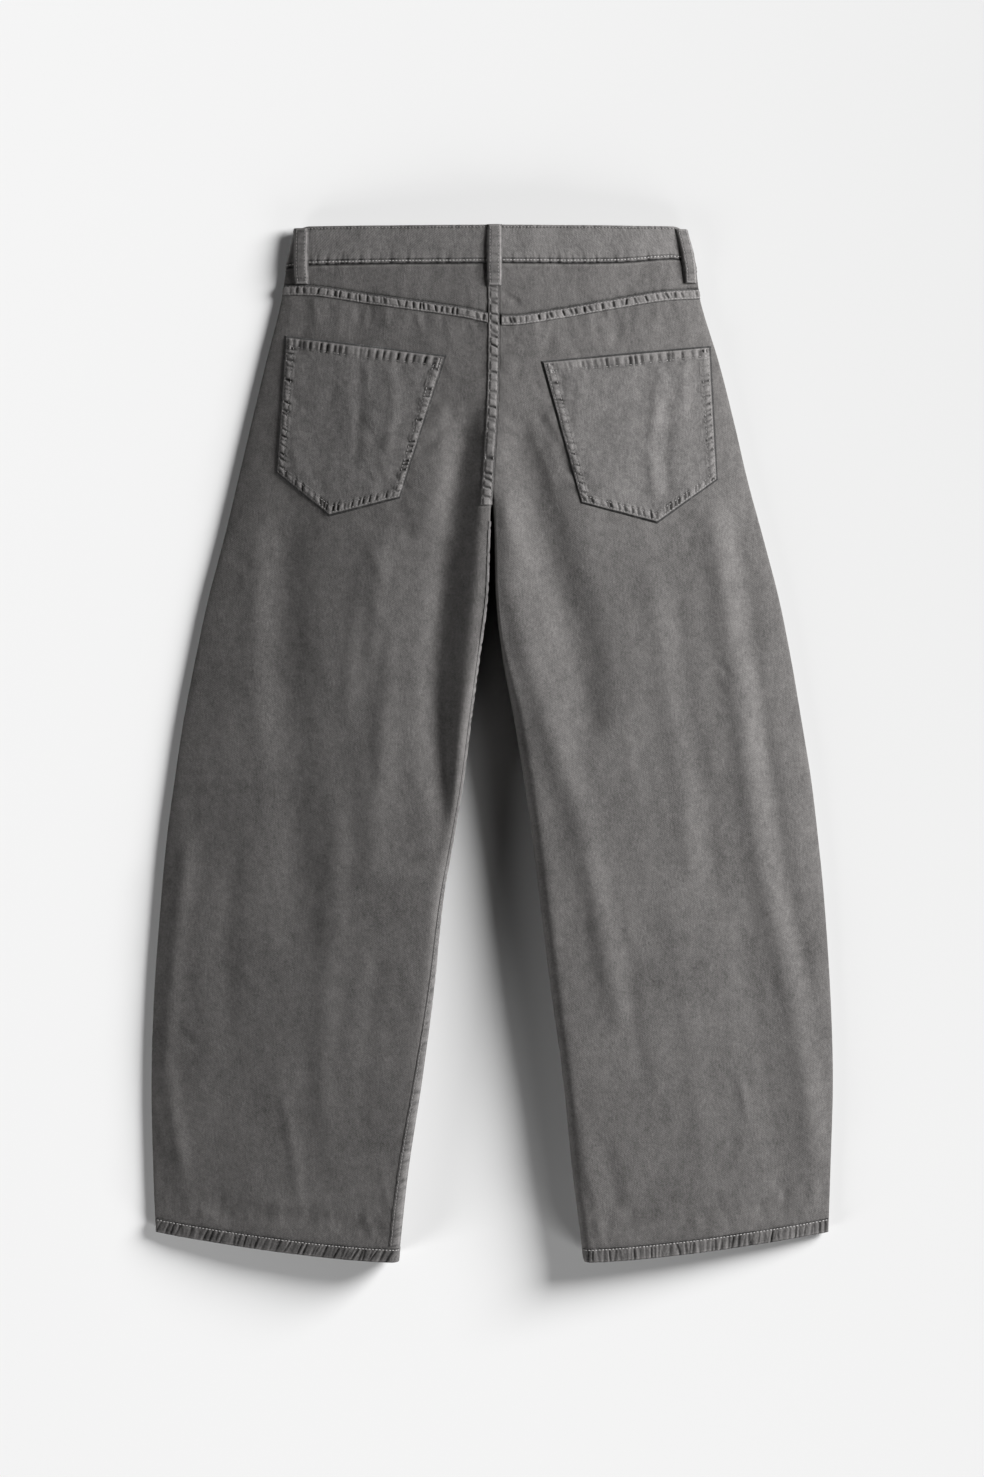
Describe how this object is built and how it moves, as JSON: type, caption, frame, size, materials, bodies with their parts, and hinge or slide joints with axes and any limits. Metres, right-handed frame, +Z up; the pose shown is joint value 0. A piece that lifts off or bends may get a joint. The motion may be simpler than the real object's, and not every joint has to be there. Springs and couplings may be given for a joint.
{
  "type": "barrel leg trousers",
  "caption": "Wide barrel leg trousers in grey cotton twill, laid flat with the back up, open at waist and hems, with patch pockets and belt loops.",
  "frame": {"origin": "centre of the part's footprint, on the surface that it lies on", "axes": "+Y from the hems to the waist, +X to the right as seen from above, +Z up out of the back of the trousers"},
  "size_m": [0.6708, 1.0163, 0.0472],
  "materials": {
    "twill": "washed, garment-dyed grey cotton twill, matt, lighter where seams are rubbed",
    "thread": "grey sewing thread, a little lighter than the cloth",
    "button_metal": "dull nickel shank button, plain face"
  },
  "bodies": {
    "root": {"back_left": "twill", "back_right": "twill", "front_left": "twill", "front_right": "twill", "yoke_left": "twill", "yoke_right": "twill", "waistband_back": "twill", "waistband_front_left": "twill", "waistband_front_right": "twill", "pocket_left": "twill", "pocket_right": "twill", "belt_loop_back": "twill", "belt_loop_side_left": "twill", "belt_loop_side_right": "twill", "belt_loop_front_left": "twill", "belt_loop_front_right": "twill", "button": "button_metal"}
  },
  "joints": []
}
